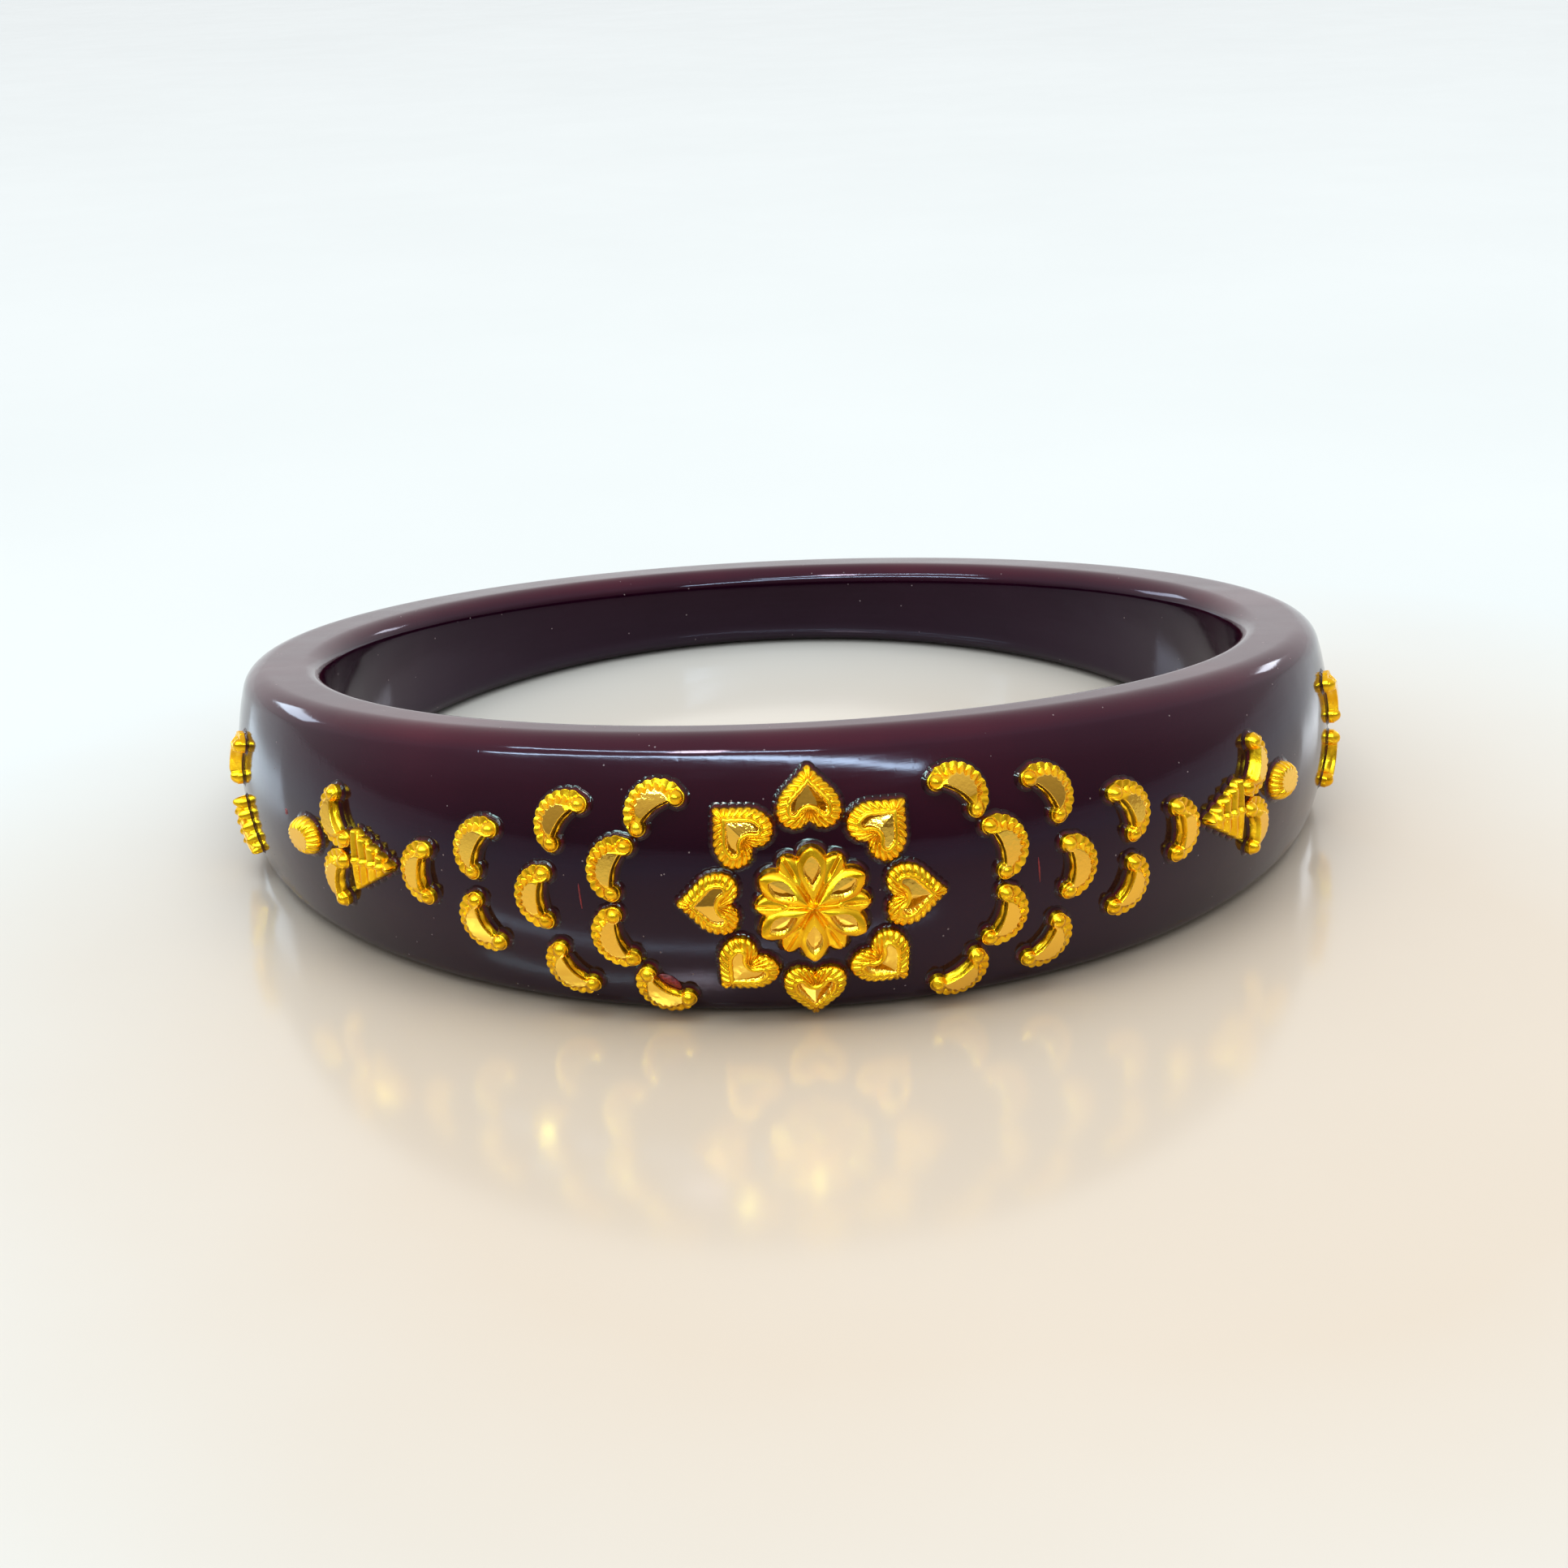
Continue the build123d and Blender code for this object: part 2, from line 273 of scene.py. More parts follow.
def resin_material():
    """Polished aubergine resin: slow colour clouds, a painted lighter maroon on faces turned up as if lit
    from above, fine scratches, dust and a soft waviness.
    """
    material, tree, shader = nodes_of("resin")
    place = tree.nodes.new("ShaderNodeTexCoord").outputs["Object"]
    cloud = noise(tree, place, 70, 4)
    dark = ramp(
        tree,
        cloud,
        [(0.3, (0.009, 0.001, 0.006)), (0.55, (0.013, 0.0012, 0.008)), (0.8, (0.022, 0.002, 0.010))],
    )
    # painted light: a lighter maroon for faces turned up, as if lit from above, mixed in by how far each
    # face turns up
    lit_top_maroon = ramp(
        tree,
        cloud,
        [(0.3, (0.038, 0.002, 0.008)), (0.55, (0.055, 0.003, 0.010)), (0.8, (0.085, 0.005, 0.014))],
    )
    facing = tree.nodes.new("ShaderNodeSeparateXYZ")
    tree.links.new(tree.nodes.new("ShaderNodeTexCoord").outputs["Normal"], facing.inputs[0])
    upward = ramp(tree, facing.outputs["Z"], [(0.15, (0, 0, 0)), (0.75, (1, 1, 1))])
    colour = mixed(tree, upward, dark, lit_top_maroon)
    dust = node(tree, "ShaderNodeTexVoronoi", Scale=1100.0)
    tree.links.new(place, dust.inputs["Vector"])
    speck = maths(tree, "LESS_THAN", dust.outputs["Distance"], 0.055)
    patch = maths(tree, "GREATER_THAN", noise(tree, place, 260, 2), 0.50)
    specks = maths(tree, "MULTIPLY", speck, patch)
    colour = mixed(tree, maths(tree, "MULTIPLY", specks, 0.45), colour, (0.55, 0.45, 0.45))
    tree.links.new(colour, shader.inputs["Base Color"])
    long_way = scaled(tree, place, (260, 260, 2600))
    fine = noise(tree, long_way, 1.0, 4, 0.6)
    crossing = scaled(tree, place, (2400, 900, 700))
    scratch = ramp(tree, noise(tree, crossing, 1.0, 2), [(0.60, (0, 0, 0)), (0.66, (1, 1, 1))])
    rough = maths(tree, "MULTIPLY_ADD", fine, 0.10)
    rough.node.inputs[2].default_value = 0.045
    rough = maths(tree, "ADD", rough, maths(tree, "MULTIPLY", specks, 0.4))
    tree.links.new(rough, shader.inputs["Roughness"])
    wavy = bumped(tree, noise(tree, place, 130, 2), 0.5, 0.00012)
    lines = bumped(tree, fine, 0.10, 0.00003, wavy)
    marks = bumped(tree, scratch, 0.05, 0.00002, lines)
    tree.links.new(marks, shader.inputs["Normal"])
    shader.inputs["IOR"].default_value = 1.42
    shader.inputs["Specular Tint"].default_value = (0.90, 0.72, 1.0, 1)
    return material


def gold_material():
    """Yellow 22-carat gold: lightly hammered relief, and bright cuts with fine tool lines."""
    material, tree, shader = nodes_of("gold")
    place = tree.nodes.new("ShaderNodeTexCoord").outputs["Object"]
    cut = node(tree, "ShaderNodeAttribute", attribute_name="cut").outputs["Fac"]
    cloud = noise(tree, place, 900, 3)
    worked = ramp(
        tree,
        cloud,
        [(0.3, (0.88, 0.43, 0.008)), (0.6, (1.0, 0.56, 0.016)), (0.85, (1.0, 0.62, 0.03))],
    )
    # painted reflection: the cut facets get a paler, pinker gold, the pale table's reflection painted into
    # their colour
    colour = mixed(tree, cut, worked, (1.0, 0.58, 0.075))
    tree.links.new(colour, shader.inputs["Base Color"])
    shader.inputs["Metallic"].default_value = 1.0
    rough = maths(tree, "MULTIPLY_ADD", cloud, 0.22)
    rough.node.inputs[2].default_value = 0.10
    plain = maths(tree, "SUBTRACT", 1.0, cut)
    rough = maths(tree, "MULTIPLY_ADD", maths(tree, "MULTIPLY", rough, plain), 1.0)
    rough.node.inputs[2].default_value = 0.06
    tree.links.new(rough, shader.inputs["Roughness"])
    hammered = bumped(tree, noise(tree, place, 3200, 3), 0.35, 0.00004)
    tooled = scaled(tree, place, (9000, 1800, 1800))
    lines = bumped(tree, noise(tree, tooled, 1.0, 2), 0.10, 0.00002, hammered)
    tree.links.new(lines, shader.inputs["Normal"])
    return material


def adhesive_material():
    """Glossy adhesive: as dark as the resin at its outer edge, with a painted maroon glow against the
    gold, the gold's tint reflected at the edge.
    """
    material, tree, shader = nodes_of("adhesive")
    place = tree.nodes.new("ShaderNodeTexCoord").outputs["Object"]
    near = node(tree, "ShaderNodeAttribute", attribute_name="cut").outputs["Fac"]
    cloud = noise(tree, place, 1500, 3)
    maroon = ramp(
        tree,
        cloud,
        [(0.35, (0.030, 0.002, 0.005)), (0.6, (0.080, 0.004, 0.010)), (0.85, (0.18, 0.010, 0.016))],
    )
    # painted reflection: the maroon mixed in towards the gold stands in for the gold's tint reflected in
    # the adhesive's edge
    tree.links.new(mixed(tree, near, (0.018, 0.002, 0.006), maroon), shader.inputs["Base Color"])
    rough = maths(tree, "MULTIPLY_ADD", cloud, 0.12)
    rough.node.inputs[2].default_value = 0.03
    tree.links.new(rough, shader.inputs["Roughness"])
    tree.links.new(bumped(tree, noise(tree, place, 900, 2), 0.4, 0.00005), shader.inputs["Normal"])
    shader.inputs["Specular IOR Level"].default_value = 0.28
    return material


def crimson_material():
    """Dried crimson adhesive with a grainy, sparkling surface."""
    material, tree, shader = nodes_of("crimson_adhesive")
    place = tree.nodes.new("ShaderNodeTexCoord").outputs["Object"]
    grain = noise(tree, place, 5200, 3, 0.7)
    colour = ramp(
        tree,
        grain,
        [(0.3, (0.10, 0.003, 0.008)), (0.55, (0.30, 0.012, 0.022)), (0.8, (0.65, 0.07, 0.09))],
    )
    tree.links.new(colour, shader.inputs["Base Color"])
    shader.inputs["Roughness"].default_value = 0.45
    tree.links.new(bumped(tree, grain, 0.8, 0.00008), shader.inputs["Normal"])
    return material


def floor_material():
    """A pale table top, polished but not mirror-like, with painted light: warm round the ring and cooler
    further out.
    """
    material, tree, shader = nodes_of("pale_table")
    place = tree.nodes.new("ShaderNodeTexCoord").outputs["Object"]
    cloud = noise(tree, place, 14, 5)
    warm = ramp(tree, cloud, [(0.3, (0.77, 0.67, 0.54)), (0.7, (0.80, 0.71, 0.59))])
    cool = ramp(tree, cloud, [(0.3, (0.80, 0.87, 0.87)), (0.7, (0.84, 0.91, 0.91))])
    # painted light: the table's colour turns from a warm tint round the ring to a cooler one further out,
    # standing in for how the light falls
    reach = tree.nodes.new("ShaderNodeVectorMath")
    reach.operation = "DISTANCE"
    tree.links.new(place, reach.inputs[0])
    reach.inputs[1].default_value = (0.010, -0.035, 0.0)
    away = maths(tree, "MULTIPLY_ADD", reach.outputs["Value"], 16.0)
    away.node.inputs[2].default_value = -0.55
    spread = maths(tree, "ADD", away, maths(tree, "MULTIPLY", cloud, 0.3))
    change = ramp(tree, spread, [(0.15, (0, 0, 0)), (0.9, (1, 1, 1))])
    tree.links.new(mixed(tree, change, warm, cool), shader.inputs["Base Color"])
    rough = maths(tree, "MULTIPLY_ADD", noise(tree, place, 60, 3), 0.08)
    rough.node.inputs[2].default_value = 0.10
    tree.links.new(rough, shader.inputs["Roughness"])
    shader.inputs["IOR"].default_value = 1.75
    return material


RESIN = resin_material()
GOLD = gold_material()
ADHESIVE = adhesive_material()
CRIMSON = crimson_material()
FLOOR = floor_material()


# ---------------------------------------------------------------- ring
def ring_profile(azimuth):
    """Upper half of the section, from the widest line over the shoulder and the top to the bore."""
    slope = math.cos(azimuth) * math.tan(LEAN)
    tilt = math.hypot(1, slope)
    top = MEAN_HEIGHT / 2
    # the shoulder touches the dome and the top face
    inset = top - SHOULDER_RADIUS * tilt
    reach = DOME_RADIUS - SHOULDER_RADIUS
    a = 1 + slope ** 2
    b = 2 * (slope * inset - DOME_CENTRE)
    c = DOME_CENTRE ** 2 + inset ** 2 - reach ** 2
    r = (-b + math.sqrt(b * b - 4 * a * c)) / (2 * a)
    z = inset + slope * r
    start = math.degrees(math.atan2(z, r - DOME_CENTRE))
    upward = math.degrees(math.atan2(1, -slope))
    lip_r = BORE_RADIUS + LIP_RADIUS
    lip_z = top + slope * lip_r - LIP_RADIUS * tilt
    dome = arc((DOME_CENTRE, 0), DOME_RADIUS, 0, start, 30)
    shoulder = arc((r, z), SHOULDER_RADIUS, start, upward, 16)
    lip = arc((lip_r, lip_z), LIP_RADIUS, upward, 180, 14)
    t = np.linspace(0, 1, 8)[1:-1, None]
    flat = shoulder[-1] * (1 - t) + lip[0] * t
    t = np.linspace(0, 1, 8)[1:, None]
    bore = lip[-1] * (1 - t) + np.array([BORE_RADIUS, 0.0]) * t
    return np.vstack([dome, shoulder[1:], flat, lip, bore])


def build_ring():
    sections = []
    for azimuth in np.linspace(0, 2 * math.pi, 540, endpoint=False):
        half = ring_profile(azimuth)
        lower = half[-2:0:-1] * np.array([1, -1])
        section = np.vstack([half, lower])
        radial = X_DIR * math.sin(azimuth) - Y_DIR * math.cos(azimuth)
        sections.append(ORIGIN + section[:, :1] * radial + section[:, 1:] * Z_DIR)
    points = np.array(sections)
    rows, columns = points.shape[:2]
    closed = np.concatenate([points, points[:1]], 0).reshape(-1, 3)
    obj = new_object("ring_body", closed, grid_faces(rows + 1, columns), RESIN)
    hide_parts("ring")


# ---------------------------------------------------------------- crescents
BULB_SPACING = 2.7
BULB_RADIUS = 0.5
REACH = BULB_SPACING / 2 + BULB_RADIUS
BELLY = 1.74
WAIST = 0.15
TEETH_PITCH = 11.0
TOOTH_BUMP = 0.08
BACK_CENTRE = 0.1135        # of the circle that the back follows
BACK_RADIUS = 1.8535


def crescent_shape():
    half = BULB_SPACING / 2
    back = arc_through((0, -REACH), (-BELLY, 0), (0, REACH), 180)
    upper = arc((0, half), BULB_RADIUS, 90, -90, 30)
    hollow = arc_through((0, half - BULB_RADIUS), (-WAIST, 0), (0, BULB_RADIUS - half), 44)
    lower = arc((0, -half), BULB_RADIUS, 90, -90, 30)
    middle = arc_through((0, -half), (-(BELLY + WAIST) / 2, 0), (0, half), 400)
    bearing = np.arctan2(back[:, 1], -(back[:, 0] - BACK_CENTRE))
    bump = TOOTH_BUMP * np.abs(np.cos(bearing * TEETH_PITCH)) ** 0.8 * step(1.4 - np.abs(bearing), 0, 0.2)
    out = (back - np.array([BACK_CENTRE, 0])) / BACK_RADIUS
    back = back + out * bump[:, None]
    outline = np.vstack([back[:-1], upper[:-1], hollow[:-1], lower[:-1]])
    along_back = np.clip((np.linspace(0, 1, 180)[:-1] - 0.1) / 0.8, 0, 1)
    along_hollow = 1 - np.linspace(0, 1, 44)[:-1]
    share = np.concatenate([along_back, np.ones(29), along_hollow, np.zeros(29)])
    skeleton = middle[(share * 399).astype(int)]
    return outline, skeleton, back


CRESCENT, CRESCENT_MIDDLE, CRESCENT_BACK = crescent_shape()


def crescent_height(tilt_x, tilt_y, cut_level):
    """A ridge with a toothed slope behind, a flat cut on top, and a round bulb at each end."""
    def height(flat, share):
        x, y = flat[..., 0], flat[..., 1]
        from_back = distance_to(flat, CRESCENT_BACK)
        from_edge = distance_to(flat, CRESCENT)
        bearing = np.arctan2(y, -(x - BACK_CENTRE))
        tooth = np.abs(np.cos(bearing * TEETH_PITCH)) ** 0.8
        toothed = step(1.45 - np.abs(bearing), 0, 0.2) * step(0.72 - from_back, 0, 0.2)
        slope = 0.20 + 0.72 * np.clip(from_back / 0.78, 0, 1) ** 0.75
        hollow_wall = 1.05 * rounded(from_edge / 0.30)
        along = np.clip(1 - (np.abs(y) / 1.32) ** 3.2, 0, 1)
        ridge = np.minimum(slope, hollow_wall) * (0.70 + 0.30 * along)
        ridge = ridge - 0.20 * toothed * (1 - tooth)
        bulb_gap = np.hypot(x, np.abs(y) - BULB_SPACING / 2 + 0.02)
        bulb = 0.84 * np.sqrt(np.clip(1 - (bulb_gap / (BULB_RADIUS * 1.08)) ** 2, 0, 1))
        ridge = np.maximum(ridge, 0.44 - 0.06 * toothed * (1 - tooth))
        plane = cut_level + tilt_x * (x + 0.8) + tilt_y * y
        cut = (ridge > plane) & (plane > bulb)
        edge_round = 0.9 * rounded(from_edge / 0.16) + 0.12
        top = np.minimum(np.maximum(np.minimum(ridge, plane), bulb), edge_round)
        return top, cut.astype(float)
    return height


# ---------------------------------------------------------------- hearts
HEART_BEADS = 26
HEART_COUNT = 288
HEART_SCALE = 1.0625
HEART_RING_RADIUS = 5.7
HEART_RING_RISE = 0.12


def heart_shape():
    lobe = arc_through((0, -1.15), (-0.825, -1.6), (-1.65, -0.62), 70)
    flank = arc((-0.2551, -0.62), 1.3949, 180, 129.9, 40)
    side = np.linspace(flank[-1], (0, 1.6), 40)
    left = np.vstack([lobe[:-1], flank[:-1], side])
    right = left[-2:0:-1] * np.array([-1, 1])
    outline = HEART_SCALE * evenly(np.vstack([left, right]), HEART_COUNT)
    turn = np.arange(HEART_COUNT) / HEART_COUNT * HEART_BEADS
    scallop = 0.07 * np.sqrt(1 - (2 * (turn % 1) - 1) ** 2) - 0.02
    outline = outline + outward_normals(outline) * scallop[:, None]
    skeleton = np.stack([np.zeros(HEART_COUNT), np.clip(outline[:, 1] * 0.62, -0.55, 0.75)], 1)
    return outline, skeleton


HEART, HEART_AXIS = heart_shape()


def heart_height(cut_left, cut_right):
    """Short ribs round the edge, a smooth rim, and a pit whose two facets meet on the axis."""
    def height(flat, share):
        x, y = flat[..., 0], flat[..., 1]
        edge = distance_to(flat, HEART)
        u = np.arange(len(HEART)) / len(HEART) * HEART_BEADS
        across = np.abs((u % 1) - 0.5) * 2
        rib = np.sqrt(np.clip(1 - across[None] ** 2 * 0.96, 0, 1)) * step(0.62 - edge, 0, 0.14)
        slope = 0.24 + 0.44 * rounded(edge / 0.52)
        border = slope * (0.70 + 0.34 * rib) * rounded(edge / 0.08 + 0.2)
        rim = 0.50 + 0.30 * np.sqrt(np.clip(1 - ((edge - 0.66) / 0.17) ** 2, 0, 1))
        pitch = np.where(x < 0, cut_left, cut_right)
        pit = 0.66 - pitch * np.abs(x) + 0.05 * y
        inside = (edge > 0.76).astype(float)
        top = np.where(edge < 0.50, border, np.where(edge < 0.76, np.maximum(rim, border), pit))
        return top, inside
    return height


# ---------------------------------------------------------------- flower
FLOWER_COUNT = 432
FLOWER_CORE = 2.6
LARGE_PETAL = (2.45, 0.86)  # reach of its round end from the middle, and the end's radius
SMALL_PETAL = (2.55, 0.63)


def flower_shape():
    angles = np.linspace(0, 2 * math.pi, FLOWER_COUNT, endpoint=False)
    ray = np.full(FLOWER_COUNT, FLOWER_CORE)
    for index in range(12):
        large = index % 2 == 0
        reach, radius = LARGE_PETAL if large else SMALL_PETAL
        away = angles - math.radians(90 + 30 * index)
        across = reach * np.sin(away)
        inside = radius ** 2 - across ** 2
        hit = reach * np.cos(away) + np.sqrt(np.maximum(inside, 0))
        ray = np.where((inside > 0) & (np.cos(away) > 0), np.maximum(ray, hit), ray)
    outline = np.stack([ray * np.cos(angles), ray * np.sin(angles)], 1)
    return outline, np.zeros((FLOWER_COUNT, 2))


FLOWER, FLOWER_MIDDLE = flower_shape()


def flower_height(flat, share):
    """Six rimmed lens petals, six grooved petals between them, and ridges that meet in the middle."""
    x, y = flat[..., 0], flat[..., 1]
    r = np.hypot(x, y)
    edge = distance_to(flat, FLOWER)
    bearing = np.arctan2(y, x) - math.pi / 2
    to_large = (bearing + math.pi / 6) % (math.pi / 3) - math.pi / 6
    to_small = bearing % (math.pi / 3) - math.pi / 6
    base = 0.38 * rounded(edge / 0.3) + 0.12 * step(2.6 - r, 0, 1.6)

    v = np.abs(r * np.sin(to_large))
    p = np.clip((r * np.cos(to_large) - 0.28) / 2.95, 0, 1)
    wide = 0.84 * np.sin(math.pi * p ** 1.55) ** 0.5 + 0.02
    petal = base + 0.52 * np.sqrt(np.clip(1 - (v / wide) ** 2, 0, 1))
    q = np.clip((p - 0.24) / 0.58, 0, 1)
    lens = 0.46 * np.sin(math.pi * q ** 1.25) ** 0.75
    sunk = (lens > 0.02) & (v < lens)
    facet = 0.50 + 0.10 * (q - 0.5) - 0.12 * v
    large = np.where(sunk, facet, petal)

    w = np.abs(r * np.sin(to_small))
    p2 = np.clip((r * np.cos(to_small) - 1.3) / 1.75, 0, 1)
    wide2 = 0.62 * np.sin(math.pi * np.clip(p2, 0.02, 0.98) ** 1.3) ** 0.45
    groove = 0.16 * np.exp(-(w / 0.07) ** 2) * step(p2, 0.1, 0.4)
    small = base + 0.30 * np.sqrt(np.clip(1 - (w / wide2) ** 2, 0, 1)) - groove
    top = np.maximum(large, np.where(sunk, 0, small))
    middle = 0.92 - 0.35 * (r / 0.5) ** 2 + 0.06 * np.cos(3 * bearing)
    top = np.where(r < 0.42, np.maximum(top, middle), top)
    top = np.minimum(top, 1.05 * rounded(edge / 0.24) + 0.12)
    return top, sunk.astype(float)


# ---------------------------------------------------------------- leaf and oval
LEAF_LENGTH = 3.3
LEAF_WIDTH = 3.6
LEAF_RIBS = 5


def leaf_shape():
    tip, low, high = (0, 0), (LEAF_LENGTH, -LEAF_WIDTH / 2), (LEAF_LENGTH, LEAF_WIDTH / 2)
    lower = np.linspace(tip, low, 90)[:-1]
    base = np.linspace(low, high, 60)[:-1]
    upper = np.linspace(high, tip, 90)[:-1]
    t = np.linspace(0, 1, 90)[:-1]
    bump = 0.20 * np.abs(np.sin(math.pi * LEAF_RIBS * t)) ** 0.5 - 0.06
    slant = np.array([LEAF_WIDTH / 2, LEAF_LENGTH]) / math.hypot(LEAF_WIDTH / 2, LEAF_LENGTH)
    lower = lower + bump[:, None] * slant * np.array([-1, -1])
    upper = upper + bump[::-1, None] * slant * np.array([-1, 1])
    outline = np.vstack([lower, base, upper])
    skeleton = np.stack([np.clip(outline[:, 0] * 0.9 + 0.35, 0.4, 3.0), np.zeros(len(outline))], 1)
    return outline, skeleton


LEAF, LEAF_AXIS = leaf_shape()


def leaf_height(flat, share):
    """Rounded bars that slope back from a low midrib to the bumps of the edge."""
    x, y = flat[..., 0], flat[..., 1]
    edge = distance_to(flat, LEAF)
    chevron = (x - 0.10 * np.abs(y)) * LEAF_RIBS / LEAF_LENGTH * 0.96
    bar = np.abs(np.sin(math.pi * chevron)) ** 0.5
    midrib = 0.14 * np.exp(-(y / 0.16) ** 2)
    top = (0.30 + 0.46 * bar + midrib) * rounded(edge / 0.18)
    return top + 0.06, np.zeros_like(top)


OVAL_COUNT = 220
OVAL_FLUTES = 9


def oval_shape():
    angles = np.linspace(0, 2 * math.pi, OVAL_COUNT, endpoint=False)
    ripple = 1 + 0.022 * np.abs(np.cos(angles * OVAL_FLUTES)) ** 0.5
    outline = np.stack([1.48 * np.cos(angles) * ripple, 1.13 * np.sin(angles) * ripple], 1)
    skeleton = np.stack([np.clip(outline[:, 0] * 0.4, -0.35, 0.35), np.zeros(OVAL_COUNT)], 1)
    return outline, skeleton


OVAL, OVAL_AXIS = oval_shape()


def oval_height(flat, share):
    """A dome fluted all round, with a small slanting cut on top."""
    x, y = flat[..., 0], flat[..., 1]
    edge = distance_to(flat, OVAL)
    angles = np.linspace(0, 2 * math.pi, OVAL_COUNT, endpoint=False)
    flute = np.abs(np.cos(angles * OVAL_FLUTES))[None] ** 0.6
    fade = 1 - step(edge, 0.45, 0.85)
    dome = 0.90 * rounded(edge / 0.85)
    top = dome - 0.15 * (1 - flute) * fade + 0.08
    plane = 0.86 + 0.10 * y
    cut = top > plane
    return np.minimum(top, plane), cut.astype(float)


# ---------------------------------------------------------------- meniscus of adhesive round a motif
# columns: outward offset, rise, and share of painted maroon glow, the gold's tint reflected in the
# adhesive
MENISCUS = [
    (0.30, -0.02, 0.0),
    (0.24, 0.004, 0.0),
    (0.17, 0.02, 0.1),
    (0.11, 0.042, 0.5),
    (0.06, 0.072, 0.9),
    (0.02, 0.105, 1.0),
    (-0.02, 0.13, 1.0),
    (-0.06, 0.12, 1.0),
    (-0.06, -0.12, 1.0),
]


def meniscus(outline, spot, points, faces, glow_tints):
    """Adds the ring of adhesive round one outline to the lists of points, faces and painted glow tints."""
    normal = outward_normals(outline)
    for _ in range(6):
        normal = (np.roll(normal, 1, 0) + normal + np.roll(normal, -1, 0)) / 3
    loops = [
        np.concatenate([outline + normal * out, np.full((len(outline), 1), rise)], 1)
        for out, rise, _ in MENISCUS + MENISCUS[:1]
    ]
    start = sum(len(p) for p in points)
    points.append(stamp(np.array(loops).reshape(-1, 3), spot))
    glow_tints.extend(tint for _, _, tint in MENISCUS + MENISCUS[:1] for _ in outline)
    for face in grid_faces(len(loops), len(outline)):
        faces.append(tuple(start + index for index in face))


# ---------------------------------------------------------------- layout, as in the part
def both_sides(along, up, turn):
    return {
        "right": (along * RIGHT_ARM_SCALE, up + along * RIGHT_ARM_CLIMB, 180 + turn),
        "left": (-along, up, -turn),
    }


crescent_spots = []
COLUMNS = [
    (4, 10.8, 6.4, 35.0, 0.0),
    (3, 14.9, 7.1, 36.0, 0.1),
    (2, 19.2, 4.9, 50.0, 0.3),
    (1, 22.7, 5.0, 0.0, 0.5),
]
for column, (count, middle, arc_radius, pitch, rise) in enumerate(COLUMNS, start=1):
    for row in range(count):
        bearing = pitch * ((count - 1) / 2 - row)
        along = middle - arc_radius + arc_radius * math.cos(math.radians(bearing))
        up = rise + arc_radius * math.sin(math.radians(bearing))
        for side, spot in both_sides(along, up, bearing).items():
            crescent_spots.append(("crescents", f"crescent_{side}_{column}_{row + 1}", spot))
for level, values in {"upper": (29.8, 2.6, -25.0), "lower": (29.9, -1.25, 18.0)}.items():
    for side, spot in both_sides(*values).items():
        crescent_spots.append(("arrows", f"arrow_crescent_{side}_{level}", spot))
for side, spot in both_sides(45.9, 2.15, 30.0).items():
    crescent_spots.append(("sides", f"side_crescent_{side}_upper", spot))
crescent_spots.append(("sides", "side_crescent_right_lower", both_sides(46.2, -1.75, -20.0)["right"]))

heart_spots = []
for number in range(8):
    bearing = math.radians(45 * number)
    along = HEART_RING_RADIUS * math.sin(bearing)
    up = HEART_RING_RISE + HEART_RING_RADIUS * math.cos(bearing)
    heart_spots.append((f"heart_{number + 1}", (along, up, -45.0 * number)))

leaf_spots = [("arrows", f"leaf_{side}", spot) for side, spot in both_sides(25.0, 0.4, 180).items()]
leaf_spots.append(("sides", "side_leaf_left", (-46.3, -1.75, -100.0)))
oval_spots = [(f"oval_{side}", spot) for side, spot in both_sides(33.6, 0.6, 0).items()]

# ---------------------------------------------------------------- build
rng = np.random.default_rng(7)
build_ring()
beds = {family: ([], [], []) for family in ("flower", "hearts", "crescents", "arrows", "ovals", "sides")}

relief("flower_rosette", FLOWER, FLOWER_MIDDLE, flower_height, (0, 0, 0), GOLD, "flower", rings=72)
meniscus(FLOWER, (0, 0, 0), *beds["flower"])

for name, spot in heart_spots:
    facets = rng.uniform(-0.1, 0.6, 2)
    relief(name + "_motif", HEART, HEART_AXIS, heart_height(*facets), spot, GOLD, name, rings=56)
    meniscus(HEART, spot, *beds["hearts"])

for family, name, spot in crescent_spots:
    tilt_x, tilt_y = rng.uniform(-0.13, 0.13), rng.uniform(-0.07, 0.07)
    shape = crescent_height(tilt_x, tilt_y, rng.uniform(0.76, 0.84))
    relief(name + "_motif", CRESCENT, CRESCENT_MIDDLE, shape, spot, GOLD, name, rings=36)
    meniscus(CRESCENT, spot, *beds[family])

for family, name, spot in leaf_spots:
    shift = np.array([-LEAF_LENGTH / 2, 0]) if family == "sides" else np.zeros(2)
    relief(name + "_motif", LEAF, LEAF_AXIS, leaf_height, spot, GOLD, name, rings=40, shift=shift)
    meniscus(LEAF + shift, spot, *beds[family])

for name, spot in oval_spots:
    relief(name + "_motif", OVAL, OVAL_AXIS, oval_height, spot, GOLD, name, rings=36)
    meniscus(OVAL, spot, *beds["ovals"])

for family, (points, faces, glow_tints) in beds.items():
    obj = new_object(f"adhesive_{family}", np.vstack(points), faces, ADHESIVE, glow_tints)
    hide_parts(f"bed_{family}")


# ---------------------------------------------------------------- spilt crimson adhesive
def spill(name, outline, spot, thickness):
    """A low grainy blob over an outline."""
    middle = outline.mean(0)
    skeleton = middle + (outline - middle) * 0.02

    def height(flat, share):
        ripple = np.sin(flat[..., 0] * 23) * np.sin(flat[..., 1] * 19) * 0.015
        dome = thickness * rounded(share)[:, None] * np.ones(flat.shape[:2])
        return dome + ripple, np.zeros(flat.shape[:2])

    obj = relief(name, outline, skeleton, height, spot, CRIMSON, rings=14)


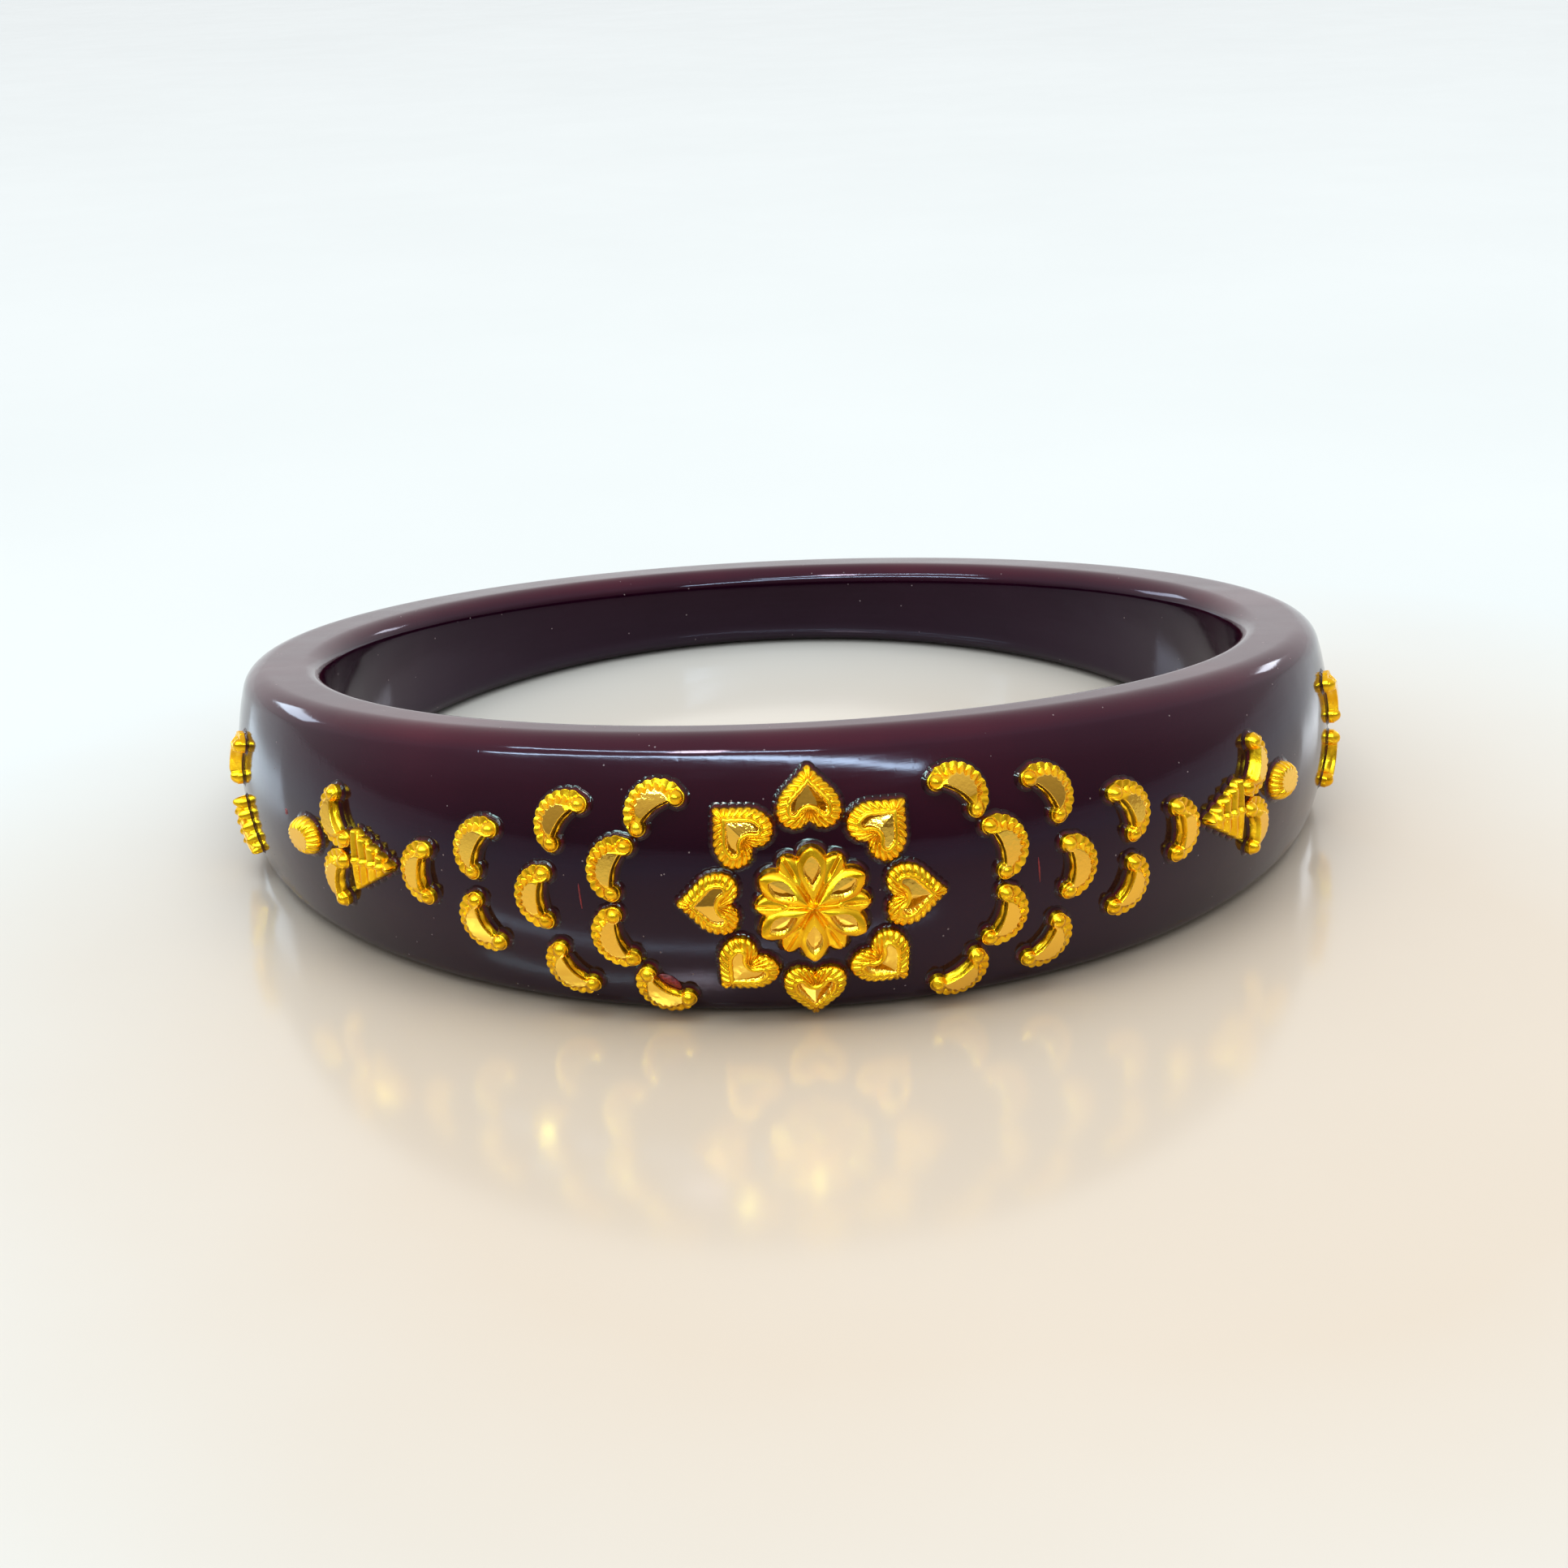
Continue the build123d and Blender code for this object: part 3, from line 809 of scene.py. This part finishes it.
half = BULB_SPACING / 2 - BULB_RADIUS
hollow_side = arc_through((0.02, half), (-WAIST, 0), (0.02, -half), 40)[:-1]
open_side = arc_through((0.02, -half), (0.42, 0.05), (0.02, half), 40)[:-1]
patch = np.vstack([hollow_side, open_side])
lowest_left = next(spot for _, name, spot in crescent_spots if name == "crescent_left_1_4")
spill("crimson_patch", patch, lowest_left, 0.16)
round_about = np.linspace(0, 2 * math.pi, 60, endpoint=False)
thread = np.stack([0.05 * np.cos(round_about), 0.75 * np.sin(round_about)], 1)
spill("crimson_thread_left", thread, (-12.9, 0.2, 4), 0.04)
spill("crimson_thread_right", thread, (12.9, 0.3, 4), 0.04)
spill("crimson_dot", thread * np.array([4.0, 0.26]), (-36.6, 1.3, 0), 0.03)

# ---------------------------------------------------------------- floor, light and camera
floor_mesh = bpy.data.meshes.new("table_top")
floor_mesh.from_pydata([(-4, -4, 0), (4, -4, 0), (4, 4, 0), (-4, 4, 0)], [], [(0, 1, 2, 3)])
floor_mesh.materials.append(FLOOR)
floor = bpy.data.objects.new("table_top", floor_mesh)
bpy.context.scene.collection.objects.link(floor)
floor.location.z = -0.00002


def soft_light(name, place, target, size, power, colour, mirrored=True):
    data = bpy.data.lights.new(name, "AREA")
    data.shape = "RECTANGLE"
    data.size, data.size_y = size
    data.energy = power
    data.color = colour
    obj = bpy.data.objects.new(name, data)
    obj.location = place
    obj.visible_glossy = mirrored
    obj.visible_diffuse = not mirrored
    obj.rotation_euler = (Vector(target) - Vector(place)).to_track_quat("-Z", "Y").to_euler()
    bpy.context.scene.collection.objects.link(obj)


soft_light("overhead", (0.0, 0.05, 0.90), (0, 0, 0), (0.9, 0.9), 4.0, (0.96, 0.98, 1.0), mirrored=False)
soft_light("shoulder_strip", (-0.20, -0.50, 0.43), (0, 0, 0), (1.2, 0.028), 4.0, (0.60, 1.0, 1.0))
soft_light("upper_strip", (-0.26, -0.36, 0.60), (0, 0, 0), (0.8, 0.018), 2.4, (0.60, 1.0, 1.0))
soft_light("left_panel", (-0.64, 0.61, 0.24), (0, 0, 0), (0.35, 0.12), 0.8, (0.70, 0.88, 1.0))
soft_light("right_panel", (0.64, 0.61, 0.26), (0, 0, 0), (0.20, 0.08), 0.4, (0.85, 0.94, 1.0))
soft_light("key_spark", (-0.20, -0.40, 0.62), (0, 0, 0), (0.10, 0.10), 1.0, (1.0, 0.98, 0.92))

world = bpy.data.worlds.new("studio")
bpy.context.scene.world = world
world.use_nodes = True
sky = world.node_tree
background = sky.nodes["Background"]
direction = sky.nodes.new("ShaderNodeTexCoord").outputs["Generated"]
split = sky.nodes.new("ShaderNodeSeparateXYZ")
sky.links.new(direction, split.inputs[0])
lift = maths(sky, "MULTIPLY_ADD", split.outputs["Z"], 0.55)
lift.node.inputs[2].default_value = 0.28
back = maths(sky, "MULTIPLY", split.outputs["Y"], 0.28)
level = ramp(
    sky,
    maths(sky, "ADD", lift, back),
    [
        (0.02, (0.20, 0.18, 0.17)),
        (0.30, (0.46, 0.43, 0.41)),
        (0.50, (0.94, 0.96, 0.98)),
        (0.85, (1.0, 1.0, 1.0)),
    ],
)
sky.links.new(level, background.inputs["Color"])
background.inputs["Strength"].default_value = 0.88
bpy.context.scene.view_settings.view_transform = "Standard"

PITCH, ROLL, TURN = 0.3816, -0.03986, -0.0329
right0 = Vector((1, 0, 0))
forward = Vector((0, math.cos(PITCH), -math.sin(PITCH)))
up0 = right0.cross(forward)
right = right0 * math.cos(ROLL) + up0 * math.sin(ROLL)
upward = up0 * math.cos(ROLL) - right0 * math.sin(ROLL)
axes = Matrix((right, upward, -forward)).transposed().to_4x4()
eye = Matrix.Translation(Vector((-0.136, -163.2, 65.73)) * MM) @ axes
camera_data = bpy.data.cameras.new("camera")
camera_data.sensor_width = 36
camera_data.lens = 59.68
camera_data.clip_start = 0.005
camera = bpy.data.objects.new("camera", camera_data)
camera.matrix_world = Matrix.Rotation(TURN, 4, "Z") @ eye
bpy.context.scene.collection.objects.link(camera)
bpy.context.scene.camera = camera
